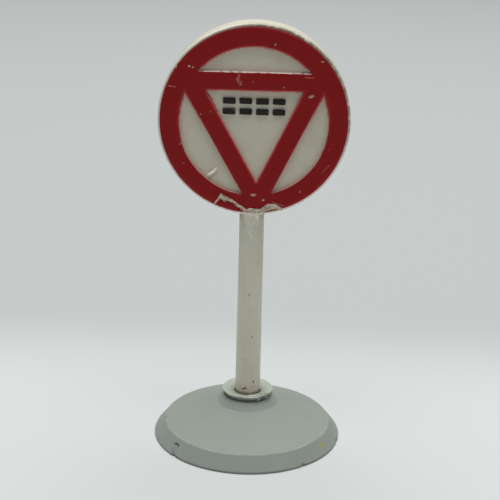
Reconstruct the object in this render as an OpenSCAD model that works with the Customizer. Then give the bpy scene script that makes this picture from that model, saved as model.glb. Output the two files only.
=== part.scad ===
// Miniature moulded-plastic road sign: a round plate on a post that turns in a wide, shallow foot.
// Millimetres, +Z up, origin on the table at the centre of the foot. The sign's face looks along -Y.

/* [Foot] */
// Diameter of the foot where it meets the table
foot_d = 25; // [20:0.1:34]
// Height of the upright band at the very edge of the foot
rim_h = 0.3; // [0.15:0.05:0.6]
// Width of the steep bevel round the edge of the foot, seen from above
bevel_w = 1.4; // [0.8:0.05:2.2]
// Height above the table of the shoulder, where the bevel meets the shallow cone
shoulder_h = 2.05; // [1.4:0.05:2.8]
// Wall thickness of the moulded shell
shell_wall = 1.1; // [0.8:0.05:1.2]

/* [Boss and lip] */
// Diameter of the boss where the cone runs into it
boss_d = 8.3; // [7.8:0.1:10.5]
// Height of the boss's lower edge above the table
boss_h = 4.7; // [4:0.05:5.6]
// Diameter of the boss at its top
boss_top_d = 6.4; // [6.2:0.05:7.2]
// Rise of the boss's flared side
boss_rise = 1.05; // [0.6:0.05:1.5]
// Outer diameter of the dished lip
lip_d = 6.8; // [6.4:0.02:7.4]
// How far the lip overhangs the neck that carries it
undercut_w = 0.35; // [0.2:0.05:0.5]
// Height of the lip's undercut side
undercut_h = 0.72; // [0.4:0.02:1]
// Height of the upright band under the lip's crest
lip_band_h = 0.1; // [0.05:0.01:0.25]
// Width of the flat crest round the dish
crest_w = 0.14; // [0.08:0.02:0.4]
// Depth of the dish inside the lip
dish_depth = 0.4; // [0.2:0.05:0.7]

/* [Socket] */
// Thickness of the floor under the post
socket_floor = 0.9; // [0.6:0.05:1.4]
// Clear height under the socket, so that only the foot's edge touches the table
socket_lift = 0.3; // [0.1:0.05:0.6]
// Wall of the tube round the post
socket_wall = 1.05; // [0.8:0.05:1.1]
// Gap all round the post in its socket
turn_gap = 0.05; // [0.02:0.01:0.1]

/* [Post] */
// Diameter of the post in the socket
post_d = 3.36; // [2.8:0.02:3.6]
// Diameter of the post under the plate
post_top_d = 3.2; // [2.6:0.02:3.4]
// Diameter of the tenon that enters the plate
tenon_d = 1.8; // [1.2:0.1:2.2]
// Length of the tenon inside the plate
tenon_l = 3; // [1.5:0.1:6]
// Glue gap all round the tenon
glue_gap = 0.03; // [0.01:0.01:0.08]

/* [Sign plate] */
// Diameter of the plate
plate_d = 24; // [20:0.1:30]
// Thickness of the plate
plate_t = 4; // [2.8:0.1:5]
// Height of the plate's centre above the table
plate_centre_h = 43.5; // [32:0.1:60]
// Size of the small chamfer round both of the plate's edges
plate_edge = 0.15; // [0.05:0.05:0.4]

/* [Raised border] */
// Width of the white edge that stays bare outside the red ring
rim_margin = 0.3; // [0.05:0.05:0.6]
// Width of the red ring
ring_w = 2.4; // [1.8:0.05:3.2]
// How far the red border stands proud of the plate
border_h = 0.5; // [0.3:0.05:0.9]
// Width of the triangle's sides
side_w = 2.3; // [1.6:0.05:3]

/* [White triangle] */
// Distance of its two upper corners from the ring's inner edge
corner_margin = 2.05; // [1.5:0.05:3.2]
// Angle of those corners above the plate's level centre line
corner_angle = 32.75; // [25:0.25:36]
// Distance of its lower corner from the ring's inner edge
tip_margin = 1.6; // [0.8:0.05:2.4]
// Sideways offset of its lower corner
white_tip_shift = 0.5; // [-0.6:0.05:0.6]

/* [Legend bars] */
// Number of bars in a row
bar_count = 4; // [2:1:5]
// Height of one bar
bar_h = 0.72; // [0.5:0.02:0.8]
// Gap between neighbouring bars
bar_gap = 0.5; // [0.3:0.05:0.7]
// Gap between the two rows
row_gap = 0.6; // [0.3:0.05:0.8]
// Distance of the upper row from the white triangle's top edge
legend_drop = 1; // [0.6:0.05:1.6]
// Clearance between the lower row's end and the white triangle's slanted side
legend_margin = 0.52; // [0.1:0.02:0.8]
// How far the bars stand proud of the plate
legend_h = 0.25; // [0.15:0.05:0.4]

/* [Hidden] */
$fn = 96;

// Widths and heights of the foot's features, counted from its axis and up from the table
shoulder_d = foot_d - 2 * bevel_w;
neck_d = lip_d - 2 * undercut_w;
boss_top_h = boss_h + boss_rise;
lip_under_h = boss_top_h + undercut_h;
lip_top_h = lip_under_h + lip_band_h;
socket_d = post_d + 2 * turn_gap;
socket_bottom_h = socket_lift + socket_floor;
socket_tube_d = socket_d + 2 * socket_wall;
crest_d = lip_d - 2 * crest_w;

// The face of the plate, and where the post's shoulder meets the plate's lower edge
plate_front_y = -plate_t / 2;
plate_foot_h = plate_centre_h - plate_d / 2;
ring_d = plate_d - 2 * rim_margin;
ring_inner_d = ring_d - 2 * ring_w;

// Depth by which cutting shapes run past the surfaces they cut
cut = 1;

// Width of the white triangle along its top edge, and how far from the centre that edge and the tip lie
corner_reach = ring_inner_d / 2 - corner_margin;
white_w = 2 * corner_reach * cos(corner_angle);
white_top = corner_reach * sin(corner_angle);
white_tip = ring_inner_d / 2 - tip_margin;

// Corners of the white triangle, and the same triangle grown by a border of even width.
// Growing a triangle evenly scales it about the centre of its inscribed circle.
white_corners = [[-white_w / 2, white_top], [white_w / 2, white_top], [white_tip_shift, -white_tip]];
side_lengths = [
    norm(white_corners[1] - white_corners[2]),
    norm(white_corners[2] - white_corners[0]),
    norm(white_corners[0] - white_corners[1])
];
perimeter = side_lengths[0] + side_lengths[1] + side_lengths[2];
inner_radius = white_w * (white_top + white_tip) / perimeter;
inner_centre = (side_lengths[0] * white_corners[0] + side_lengths[1] * white_corners[1]
    + side_lengths[2] * white_corners[2]) / perimeter;
border_growth = 1 + side_w / inner_radius;
border_corners = [for (p = white_corners) inner_centre + (p - inner_centre) * border_growth];

// The rows of bars are as wide as the white triangle lets the lower one be
legend_foot = white_top - legend_drop - 2 * bar_h - row_gap;
tip_share = (white_top - legend_foot) / (white_top + white_tip);
row_w = 2 * (min([for (side = [-1, 1]) white_w / 2 + (side * white_tip_shift - white_w / 2) * tip_share])
    - legend_margin);
bar_w = (row_w - (bar_count - 1) * bar_gap) / bar_count;

// Outline of the foot from the table up over the lip and down its dish to the socket's mouth
function foot_outline() = [
    [0, 0],
    [foot_d / 2, 0],
    [foot_d / 2, rim_h],
    [shoulder_d / 2, shoulder_h],
    [boss_d / 2, boss_h],
    [boss_top_d / 2, boss_top_h],
    [neck_d / 2, boss_top_h],
    [lip_d / 2, lip_under_h],
    [lip_d / 2, lip_top_h],
    [crest_d / 2, lip_top_h],
    [socket_d / 2, lip_top_h - dish_depth],
    [0, lip_top_h - dish_depth]
];

// Outline of the hollow under the shell: the outer surface lowered by the wall
function hollow_outline() = [
    [socket_tube_d / 2, -cut],
    [foot_d / 2 - shell_wall, -cut],
    [foot_d / 2 - shell_wall, 0],
    [shoulder_d / 2 - shell_wall, shoulder_h - shell_wall],
    [boss_d / 2, boss_h - shell_wall],
    [socket_tube_d / 2, boss_h - shell_wall]
];

// Moulded shell with its boss, rolled lip and the blind socket that the post turns in
module foot() {
    color("#a9adab") difference() {
        rotate_extrude() polygon(foot_outline());
        rotate_extrude() polygon(hollow_outline());
        translate([0, 0, -cut]) cylinder(d = socket_tube_d + cut, h = cut + socket_lift);
        translate([0, 0, socket_bottom_h]) cylinder(d = socket_d, h = lip_top_h);
    }
}

// Post with a straight journal in the socket, a slight draft above it, and a tenon for the plate
module post() {
    color("#e9e6da") {
        difference() {
            union() {
                translate([0, 0, socket_bottom_h]) cylinder(d = post_d, h = lip_top_h - socket_bottom_h);
                translate([0, 0, lip_top_h])
                    cylinder(d1 = post_d, d2 = post_top_d, h = plate_foot_h + cut - lip_top_h);
            }
            plate_blank(plate_t + 2 * cut);
        }
        translate([0, 0, plate_foot_h - cut]) cylinder(d = tenon_d, h = cut + tenon_l);
    }
}

// Plain disc of the plate's diameter, centred on the plate's middle
module plate_blank(thickness) {
    translate([0, 0, plate_centre_h]) rotate([90, 0, 0]) cylinder(d = plate_d, h = thickness, center = true);
}

// White disc with chamfered edges and a blind hole for the post's tenon in its lower edge
module sign_plate() {
    color("#f1efe6") difference() {
        translate([0, 0, plate_centre_h]) rotate([90, 0, 0]) rotate_extrude() polygon([
            [0, -plate_t / 2],
            [plate_d / 2 - plate_edge, -plate_t / 2],
            [plate_d / 2, plate_edge - plate_t / 2],
            [plate_d / 2, plate_t / 2 - plate_edge],
            [plate_d / 2 - plate_edge, plate_t / 2],
            [0, plate_t / 2]
        ]);
        translate([0, 0, plate_foot_h - cut])
            cylinder(d = tenon_d + 2 * glue_gap, h = cut + tenon_l + glue_gap);
    }
}

// Raises a flat outline from the face of the plate by the given height
module on_plate_face(height) {
    translate([0, plate_front_y, plate_centre_h]) rotate([90, 0, 0]) linear_extrude(height) children();
}

// Raised red ring round the edge of the face
module ring_border() {
    color("#b3151c") on_plate_face(border_h) difference() {
        circle(d = ring_d);
        circle(d = ring_inner_d);
    }
}

// Raised red triangle, point down, whose corners run out into the ring
module triangle_border() {
    color("#b3151c") on_plate_face(border_h) intersection() {
        difference() {
            polygon(border_corners);
            polygon(white_corners);
        }
        circle(d = ring_inner_d);
    }
}

// Two rows of plain black bars where the sign carries its legend
module legend_bars() {
    color("#1b1b1d") on_plate_face(legend_h)
        for (column = [0 : bar_count - 1], row = [0, 1])
            translate([column * (bar_w + bar_gap) - row_w / 2, legend_foot + row * (bar_h + row_gap)])
                square([bar_w, bar_h]);
}

foot();
post();
sign_plate();
ring_border();
triangle_border();
legend_bars();
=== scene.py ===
"""Looks for a miniature moulded-plastic road sign: foot, post, round plate, raised red border and black bars.

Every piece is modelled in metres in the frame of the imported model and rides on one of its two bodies, the
base that stands on the table and the sign that turns in it.
"""

import logging
import math
import random
from dataclasses import dataclass, field
from enum import Enum
from functools import reduce
from typing import Callable, Iterable, Sequence, Union

import bmesh
import bpy
from mathutils import Euler, Matrix, Vector, noise


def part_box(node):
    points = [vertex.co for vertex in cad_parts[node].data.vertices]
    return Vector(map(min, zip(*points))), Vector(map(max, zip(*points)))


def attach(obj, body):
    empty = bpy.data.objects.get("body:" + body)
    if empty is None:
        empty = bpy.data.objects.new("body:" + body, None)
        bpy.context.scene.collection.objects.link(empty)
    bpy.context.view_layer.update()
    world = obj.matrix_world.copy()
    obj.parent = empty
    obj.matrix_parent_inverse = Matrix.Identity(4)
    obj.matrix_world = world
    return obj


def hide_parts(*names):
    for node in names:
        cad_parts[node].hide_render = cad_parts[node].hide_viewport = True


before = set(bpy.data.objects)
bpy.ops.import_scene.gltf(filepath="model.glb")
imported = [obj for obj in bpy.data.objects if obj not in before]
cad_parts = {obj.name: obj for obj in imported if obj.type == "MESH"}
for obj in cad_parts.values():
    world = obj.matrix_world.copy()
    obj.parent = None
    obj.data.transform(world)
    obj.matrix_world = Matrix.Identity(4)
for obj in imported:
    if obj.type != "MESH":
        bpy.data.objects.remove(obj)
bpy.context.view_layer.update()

MM = 0.001
NOISE_SEED = 4
LOG = logging.getLogger("road_sign")

# How far light spreads under the plastic: its share of red, green and blue, and its distance in millimetres
SPREAD = (0.6, 0.5, 0.35)
SPREAD_MM = 0.6

Number = Union[int, float]
Colour = tuple[float, float, float]
Point2 = tuple[float, float]
Coat = tuple["Signal", Union["Signal", Colour]]


class Body(Enum):
    """The two CAD bodies that pieces ride on."""

    BASE = "base"
    SIGN = "sign"


# --------------------------------------------------------------------------------------------------------------
# Shader graph helpers
# --------------------------------------------------------------------------------------------------------------


class Signal:
    """A number-valued socket of a node tree that can be used in Python arithmetic."""

    def __init__(self, graph: "Graph", socket: bpy.types.NodeSocket) -> None:
        """Wraps a socket.

        Args:
            graph: The graph that the socket belongs to.
            socket: The output socket whose value is carried.
        """
        self.graph = graph
        self.socket = socket

    def _math(self, operation: str, *others: Union["Signal", Number], clamp: bool = False) -> "Signal":
        """Adds one Math node whose first input is this signal."""
        inputs = {index: value for index, value in enumerate((self, *others))}
        return self.graph.add("ShaderNodeMath", {"operation": operation, "use_clamp": clamp}, inputs).out(0)

    def __add__(self, other: Union["Signal", Number]) -> "Signal":
        """This signal plus another."""
        return self._math("ADD", other)

    def __radd__(self, other: Number) -> "Signal":
        """A number plus this signal."""
        return self._math("ADD", other)

    def __sub__(self, other: Union["Signal", Number]) -> "Signal":
        """This signal minus another."""
        return self._math("SUBTRACT", other)

    def __rsub__(self, other: Number) -> "Signal":
        """A number minus this signal."""
        return self._math("MULTIPLY_ADD", -1.0, other)

    def __mul__(self, other: Union["Signal", Number]) -> "Signal":
        """This signal times another."""
        return self._math("MULTIPLY", other)

    def __rmul__(self, other: Number) -> "Signal":
        """A number times this signal."""
        return self._math("MULTIPLY", other)

    def __truediv__(self, other: Union["Signal", Number]) -> "Signal":
        """This signal divided by another."""
        return self._math("DIVIDE", other)

    def root(self) -> "Signal":
        """The square root of this signal."""
        return self._math("SQRT")

    def size(self) -> "Signal":
        """This signal without its sign."""
        return self._math("ABSOLUTE")

    def least(self, other: Union["Signal", Number]) -> "Signal":
        """The smaller of this signal and another."""
        return self._math("MINIMUM", other)

    def most(self, other: Union["Signal", Number]) -> "Signal":
        """The larger of this signal and another."""
        return self._math("MAXIMUM", other)

    def clamped(self) -> "Signal":
        """This signal held between 0 and 1."""
        return self._math("ADD", 0.0, clamp=True)

    def ramp(self, start: Number, end: Number) -> "Signal":
        """A smooth step from 0 where this signal is at start to 1 where it is at end.

        Args:
            start: The value that gives 0.
            end: The value that gives 1; it may be below start.

        Returns:
            The stepped signal.
        """
        settings = {"interpolation_type": "SMOOTHSTEP"}
        inputs = {"Value": self, "From Min": start, "From Max": end}
        if start > end:
            inputs["From Min"], inputs["From Max"] = end, start
            inputs["To Min"], inputs["To Max"] = 1.0, 0.0
        return self.graph.add("ShaderNodeMapRange", settings, inputs).out("Result")


class Placed:
    """A node that has been added to a graph."""

    def __init__(self, graph: "Graph", node: bpy.types.Node) -> None:
        """Remembers the node and the graph it is in."""
        self.graph = graph
        self.node = node

    def out(self, key: Union[int, str]) -> Signal:
        """The output socket with that name or number, as a signal."""
        return Signal(self.graph, self.node.outputs[key])


class Graph:
    """The node tree of one material, in millimetres of the row frame."""

    def __init__(self, name: str) -> None:
        """Starts an empty material of that name."""
        self.material = bpy.data.materials.new(name)
        self.material.use_nodes = True
        self.tree = self.material.node_tree
        self.tree.nodes.clear()
        coordinates = self.add("ShaderNodeTexCoord", {}, {})
        scaled = self.add(
            "ShaderNodeVectorMath", {"operation": "SCALE"},
            {"Vector": coordinates.out("Object"), "Scale": 1.0 / MM},
        )
        self.position = scaled.out("Vector")
        split = self.add("ShaderNodeSeparateXYZ", {}, {"Vector": self.position})
        self.x, self.y, self.z = split.out("X"), split.out("Y"), split.out("Z")

    def add(self, kind: str, settings: dict, inputs: dict) -> Placed:
        """Adds a node.

        Args:
            kind: The node's type.
            settings: Attributes of the node, set first.
            inputs: Sockets by name or number, each a signal or a plain value.

        Returns:
            The node that was placed.
        """
        node = self.tree.nodes.new(kind)
        for name, value in settings.items():
            setattr(node, name, value)
        for key, value in inputs.items():
            if isinstance(value, Signal):
                self.tree.links.new(value.socket, node.inputs[key])
            else:
                node.inputs[key].default_value = value
        return Placed(self, node)

    def noise(self, scale: Number, detail: Number = 3.0, rough: Number = 0.55, warp: Number = 0.0,
              stretch: Sequence[float] = (1.0, 1.0, 1.0), seed: Number = 0.0) -> Signal:
        """Fractal noise from 0 to 1.

        Args:
            scale: Features per millimetre.
            detail: Octaves.
            rough: Strength of the finer octaves.
            warp: Distortion.
            stretch: Scale of the pattern along each axis.
            seed: Shift of the pattern in millimetres, so that two noises differ.

        Returns:
            The noise.
        """
        place = self.add(
            "ShaderNodeMapping", {"vector_type": "POINT"},
            {"Vector": self.position, "Location": (seed, seed * 0.7, -seed), "Scale": tuple(stretch)},
        )
        inputs = {"Vector": place.out("Vector"), "Scale": scale, "Detail": detail, "Roughness": rough,
                  "Distortion": warp}
        return self.add("ShaderNodeTexNoise", {"noise_dimensions": "3D"}, inputs).out("Fac")

    def cells(self, scale: Number, spread: Number = 1.0) -> Signal:
        """Distance to the nearest of the points scattered through space.

        Args:
            scale: Points per millimetre.
            spread: How unevenly they lie, from 0 to 1.

        Returns:
            The distance, in cells.
        """
        inputs = {"Vector": self.position, "Scale": scale, "Randomness": spread}
        return self.add("ShaderNodeTexVoronoi", {"feature": "F1"}, inputs).out("Distance")

    def blend(self, amount: Union[Signal, Number], first: Union[Signal, Colour],
              second: Union[Signal, Colour]) -> Signal:
        """Mixes two colours.

        Args:
            amount: 0 gives the first colour and 1 the second.
            first: A colour or a signal that carries one.
            second: A colour or a signal that carries one.

        Returns:
            The mixed colour.
        """
        def four(colour: Union[Signal, Colour]) -> Union[Signal, tuple[float, float, float, float]]:
            """A plain colour with its alpha."""
            return colour if isinstance(colour, Signal) else (*colour, 1.0)

        settings = {"data_type": "RGBA", "blend_type": "MIX", "clamp_factor": True}
        return self.add("ShaderNodeMix", settings, {0: amount, 6: four(first), 7: four(second)}).out(2)

    def spot(self, centre: Sequence[float], half: Sequence[float], turn: float = 0.0, ragged: float = 0.25,
             edge: float = 0.25, scale: float = 3.0) -> Signal:
        """A ragged oval mark on the face of the sign, seen along Y.

        Args:
            centre: Its X and Z in millimetres.
            half: Its half width and half height in millimetres.
            turn: Its turn in degrees, anticlockwise to a viewer of the face.
            ragged: How far noise moves its outline, as a share of its size.
            edge: Width of its soft edge, as a share of its size.
            scale: Features per millimetre of that noise.

        Returns:
            1 inside the mark and 0 outside.
        """
        cosine, sine = math.cos(math.radians(turn)), math.sin(math.radians(turn))
        across, up = self.x - centre[0], self.z - centre[1]
        along = (across * cosine + up * sine) / half[0]
        over = (up * cosine - across * sine) / half[1]
        reach = (along * along + over * over).root()
        wobble = (self.noise(scale, 3.0, 0.6, seed=centre[0] * 3.1 + centre[1]) - 0.5) * (4.0 * ragged)
        return (reach + wobble).ramp(1.0 + edge, 1.0 - edge)

    def away(self, centre: Sequence[float]) -> Signal:
        """Distance in millimetres from a place."""
        return self.add("ShaderNodeVectorMath", {"operation": "DISTANCE"},
                        {0: self.position, 1: tuple(centre)}).out("Value")

    def bead(self, centre: Sequence[float], radius: float, edge: float = 0.3, ragged: float = 0.2) -> Signal:
        """A ragged ball-shaped mark anywhere on the object.

        Args:
            centre: Its X, Y and Z in millimetres.
            radius: Its radius in millimetres.
            edge: Width of its soft edge, as a share of its radius.
            ragged: How far noise moves its outline, as a share of its radius.

        Returns:
            1 inside the mark and 0 outside.
        """
        wobble = (self.noise(2.0 / radius, 2.0, seed=centre[0] - centre[2]) - 0.5) * (4.0 * ragged)
        return (self.away(centre) / radius + wobble).ramp(1.0 + edge, 1.0 - edge)

    def scratch(self, start: Point2, end: Point2, width: float, seed: float = 0.0) -> Signal:
        """A thin broken scratch on the face of the sign, between two points given as X and Z in millimetres.

        Args:
            start: One end.
            end: The other end.
            width: Its full width.
            seed: Shift of the noise that breaks it up.

        Returns:
            1 in the scratch and 0 outside.
        """
        run = Vector((end[0] - start[0], end[1] - start[1]))
        length = run.length
        run.normalize()
        across, up = self.x - start[0], self.z - start[1]
        along = across * run.x + up * run.y
        wander = (self.noise(1.6, 2.0, seed=seed + 4.0) - 0.5) * (width * 2.0)
        beside = (up * run.x - across * run.y + wander).size()
        ends = (along - length / 2).size().ramp(length / 2 + 0.1, length / 2 - 0.1)
        broken = self.noise(2.6, 3.0, 0.65, seed=seed).ramp(0.36, 0.5)
        return beside.ramp(width * 0.75, width * 0.3) * ends * broken

    def bump(self, height: Signal, distance: float, strength: float = 1.0,
             over: Union[Signal, None] = None) -> Signal:
        """A normal bent by a height.

        Args:
            height: The height, where 1 stands for the full distance.
            distance: That distance in millimetres.
            strength: Share of the effect.
            over: A normal that this one is laid over.

        Returns:
            The normal.
        """
        inputs = {"Height": height, "Distance": distance * MM, "Strength": strength}
        if over is not None:
            inputs["Normal"] = over
        return self.add("ShaderNodeBump", {}, inputs).out("Normal")

    def coated(self, base: Union[Signal, Colour], coats: Iterable[Coat]) -> Signal:
        """Lays colours over a base, one after another.

        Args:
            base: The colour under them.
            coats: The amount and the colour of each, the lowest first.

        Returns:
            The colour that shows.
        """
        colour = base
        for amount, over in coats:
            colour = self.blend(amount, colour, over)
        return colour

    def close(self, colour: Signal, roughness: Union[Signal, float], normal: Signal, ior: float = 1.5,
              soft: float = 0.0) -> bpy.types.Material:
        """Ends the graph in one Principled shader.

        Args:
            colour: Base colour.
            roughness: Roughness.
            normal: Normal.
            ior: Index of refraction.
            soft: Weight of the light that spreads under the surface.

        Returns:
            The finished material.
        """
        shader = self.add("ShaderNodeBsdfPrincipled", {}, {
            "Base Color": colour, "Roughness": roughness, "Normal": normal, "IOR": ior,
            "Subsurface Weight": soft, "Subsurface Radius": SPREAD, "Subsurface Scale": SPREAD_MM * MM,
        })
        self.add("ShaderNodeOutputMaterial", {}, {"Surface": shader.out("BSDF")})
        return self.material


# --------------------------------------------------------------------------------------------------------------
# Mesh helpers. Sizes are in millimetres until a mesh is finished, when it is scaled to metres
# --------------------------------------------------------------------------------------------------------------


@dataclass(frozen=True)
class Corner:
    """One corner of a turned outline.

    Attributes:
        reach: Distance from the axis.
        height: Place along the axis.
        soft: Radius of its rounding.
        step: Spacing of the points on the way to it; 0 takes the outline's own.
    """

    reach: float
    height: float
    soft: float = 0.0
    step: float = 0.0


def rounded_line(corners: Sequence[Corner], step: float, arc_steps: int = 5) -> list[Point2]:
    """Rounds the corners of an open outline and splits its long runs.

    Args:
        corners: The outline's corners in order.
        step: Longest run left whole.
        arc_steps: Pieces in each rounded corner.

    Returns:
        The outline's points.
    """
    points: list[Vector] = []
    steps: list[float] = []
    for index, corner in enumerate(corners):
        here = Vector((corner.reach, corner.height))
        if corner.soft <= 0.0 or index in (0, len(corners) - 1):
            points.append(here)
            steps.append(corner.step or step)
            continue
        before = Vector((corners[index - 1].reach, corners[index - 1].height)) - here
        after = Vector((corners[index + 1].reach, corners[index + 1].height)) - here
        half = before.angle(after) / 2
        back = min(corner.soft / math.tan(half), before.length * 0.45, after.length * 0.45)
        start, end = here + before.normalized() * back, here + after.normalized() * back
        for turn in range(arc_steps + 1):
            share = turn / arc_steps
            points.append(start.lerp(here, share).lerp(here.lerp(end, share), share))
            steps.append(corner.step or step)
    line: list[Point2] = [tuple(points[0])]
    for first, second, run in zip(points, points[1:], steps[1:]):
        pieces = max(1, math.ceil((second - first).length / run))
        line.extend(tuple(first.lerp(second, piece / pieces)) for piece in range(1, pieces + 1))
    return line


def spun(line: Sequence[Point2], steps: int) -> bmesh.types.BMesh:
    """Turns an outline a full turn about Z.

    Args:
        line: Points as distance from the axis and height.
        steps: Pieces in the turn.

    Returns:
        The turned surface, with its poles closed and its faces outward.
    """
    shape = bmesh.new()
    verts = [shape.verts.new((reach, 0.0, height)) for reach, height in line]
    edges = [shape.edges.new(pair) for pair in zip(verts, verts[1:])]
    bmesh.ops.spin(
        shape, geom=verts + edges, cent=(0, 0, 0), axis=(0, 0, 1), dvec=(0, 0, 0),
        angle=math.tau, steps=steps, use_merge=True,
    )
    bmesh.ops.remove_doubles(shape, verts=shape.verts, dist=1e-5)
    bmesh.ops.recalc_face_normals(shape, faces=shape.faces)
    return shape


def moved(shape: bmesh.types.BMesh, shift: Callable[[Vector], Vector]) -> None:
    """Moves every vertex of a shape by what a function says of its place."""
    for vert in shape.verts:
        vert.co += shift(vert.co)


def finished(shape: bmesh.types.BMesh, name: str, material: bpy.types.Material, body: Body,
             replaced: Iterable[str] = (), sharp: float = 40.0) -> bpy.types.Object:
    """Turns a shape in millimetres into a piece of the object in metres.

    Args:
        shape: The shape; it is freed.
        name: Name of the piece.
        material: Its finish.
        body: The body that it rides on.
        replaced: CAD nodes that it stands for.
        sharp: Angle in degrees past which an edge isn't smoothed.

    Returns:
        The piece.
    """
    bmesh.ops.scale(shape, vec=(MM, MM, MM), verts=shape.verts)
    mesh = bpy.data.meshes.new(name)
    shape.to_mesh(mesh)
    shape.free()
    mesh.materials.append(material)
    mesh.shade_smooth()
    mesh.set_sharp_from_angle(angle=math.radians(sharp))
    piece = bpy.data.objects.new(name, mesh)
    bpy.context.scene.collection.objects.link(piece)
    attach(piece, body.value)
    if replaced:
        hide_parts(*replaced)
    LOG.info("%s: %d faces on %s", name, len(mesh.polygons), body.value)
    return piece


def faced(shape: bmesh.types.BMesh, forward: float, height: float) -> None:
    """Stands a shape that lies flat upright, its top towards -Y, and moves it along Y and up."""
    upright = Matrix.Rotation(math.pi / 2, 3, "X")
    bmesh.ops.rotate(shape, verts=shape.verts, cent=(0, 0, 0), matrix=upright)
    bmesh.ops.translate(shape, verts=shape.verts, vec=(0, forward, height))


def joined(parts: Iterable[bmesh.types.BMesh]) -> bmesh.types.BMesh:
    """Puts shapes into one, in their order, and frees them."""
    shape = bmesh.new()
    for part in parts:
        mesh = bpy.data.meshes.new("part")
        part.to_mesh(mesh)
        part.free()
        shape.from_mesh(mesh)
        bpy.data.meshes.remove(mesh)
    return shape


def ribbon(points: Sequence[Sequence[float]], widths: Sequence[float], heights: Sequence[float],
           across: Vector, sides: int = 8, rough: float = 0.0) -> bmesh.types.BMesh:
    """A lumpy flattened tube along a path, closed at both ends.

    Args:
        points: Places along the middle of the ribbon.
        widths: Half width at each place.
        heights: Half thickness at each place.
        across: The direction that the thickness is measured in.
        sides: Sides of the tube.
        rough: How far noise moves its surface.

    Returns:
        The ribbon.
    """
    path = [Vector(point) for point in points]
    shape = bmesh.new()
    ring = bmesh.ops.create_circle(shape, cap_ends=True, segments=sides, radius=1.0)["verts"]
    first_face = next(iter(shape.faces))
    edges = list(first_face.edges)
    unit = [vert.co.copy() for vert in ring]
    loops = [list(ring)]
    for _ in path[1:]:
        made = bmesh.ops.extrude_edge_only(shape, edges=edges)["geom"]
        edges = [item for item in made if isinstance(item, bmesh.types.BMEdge)]
        fresh = {vert for edge in edges for vert in edge.verts}
        older = loops[-1]
        partner = {}
        for vert in fresh:
            for edge in vert.link_edges:
                other = edge.other_vert(vert)
                if other in older:
                    partner[other] = vert
        loops.append([partner[vert] for vert in older])
    bmesh.ops.contextual_create(shape, geom=edges)
    for index, (place, loop) in enumerate(zip(path, loops)):
        ahead = path[min(index + 1, len(path) - 1)] - path[max(index - 1, 0)]
        side = across.cross(ahead).normalized()
        up = ahead.cross(side).normalized()
        for vert, spot in zip(loop, unit):
            vert.co = place + side * (spot.x * widths[index]) + up * (spot.y * heights[index])
    bmesh.ops.recalc_face_normals(shape, faces=shape.faces)
    if rough:
        moved(shape, lambda place: noise.noise_vector(place * 2.7) * rough)
    return shape


# --------------------------------------------------------------------------------------------------------------
# Finishes
# --------------------------------------------------------------------------------------------------------------


@dataclass(frozen=True)
class FaceLayout:
    """The lines that the raised border and the white fields share, in millimetres about the plate's centre.

    Attributes:
        centre_z: Height of the plate's centre above the table.
        front_y: The plate's face.
        plate_r: Radius of the plate.
        ring_r: Outer radius of the ring.
        ring_w: Width of the ring.
        corner_margin: Distance of the white triangle's upper corners from the ring's inner edge.
        corner_angle: Angle in degrees of those corners above the level centre line.
        tip_margin: Distance of its lower corner from the ring's inner edge.
        tip_shift: Sideways place of that corner.
        side_w: Width of the border round it.
        marks_rise: How far above the plate's centre the marks on the face are counted from.
    """

    centre_z: float
    front_y: float
    plate_r: float
    ring_r: float
    ring_w: float = 2.4
    corner_margin: float = 2.05
    corner_angle: float = 32.75
    tip_margin: float = 1.6
    tip_shift: float = 0.5
    side_w: float = 2.3
    marks_rise: float = 0.3

    @property
    def ring_inner_r(self) -> float:
        """Inner radius of the ring."""
        return self.ring_r - self.ring_w

    @property
    def white_w(self) -> float:
        """Width of the white triangle along its top."""
        return 2 * (self.ring_inner_r - self.corner_margin) * math.cos(math.radians(self.corner_angle))

    @property
    def white_top(self) -> float:
        """Height of the white triangle's top above the centre."""
        return (self.ring_inner_r - self.corner_margin) * math.sin(math.radians(self.corner_angle))

    @property
    def white_tip(self) -> float:
        """Depth of the white triangle's tip below the centre."""
        return self.ring_inner_r - self.tip_margin

    @property
    def bar_top(self) -> float:
        """Height of the border's level side above the centre."""
        return self.white_top + self.side_w

    @property
    def marks_z(self) -> float:
        """Height that the marks on the face are counted from."""
        return self.centre_z + self.marks_rise

    def white_corners(self) -> list[Vector]:
        """Corners of the white triangle: left, right and tip."""
        return [Vector((-self.white_w / 2, self.white_top)), Vector((self.white_w / 2, self.white_top)),
                Vector((self.tip_shift, -self.white_tip))]

    def border_corners(self) -> list[Vector]:
        """Corners of the red triangle: the white one grown about its inscribed circle."""
        corners = self.white_corners()
        lengths = [(corners[(i + 1) % 3] - corners[(i + 2) % 3]).length for i in range(3)]
        around = sum(lengths)
        inner = self.white_w * (self.white_top + self.white_tip) / around
        middle = sum((corner * length for corner, length in zip(corners, lengths)), Vector((0, 0))) / around
        return [middle + (corner - middle) * (1 + self.side_w / inner) for corner in corners]

    def sides(self, corners: Sequence[Vector]) -> list[tuple[Vector, Vector]]:
        """Each side of a triangle as a point on it and its outward normal."""
        middle = sum(corners, Vector((0, 0))) / 3
        rows = []
        for first, second in zip(corners, [*corners[1:], corners[0]]):
            run = (second - first).normalized()
            out = Vector((run.y, -run.x))
            rows.append((first, out if (first - middle).dot(out) > 0 else -out))
        return rows

    def gap(self, graph: Graph) -> Signal:
        """Distance from the raised border, in millimetres, at each point of the white fields."""
        up = graph.z - self.centre_z

        def beyond(point: Vector, out: Vector) -> Signal:
            """Signed distance beyond one side."""
            return graph.x * out.x + up * out.y - point.dot(out)

        inside = [0 - beyond(*side) for side in self.sides(self.white_corners())]
        outside = [beyond(*side) for side in self.sides(self.border_corners())]
        white = inside[0].least(inside[1]).least(inside[2])
        fields = outside[0].most(outside[1]).most(outside[2])
        reach = (graph.x * graph.x + up * up).root()
        return white.most(fields).least(self.ring_inner_r - reach)


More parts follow.
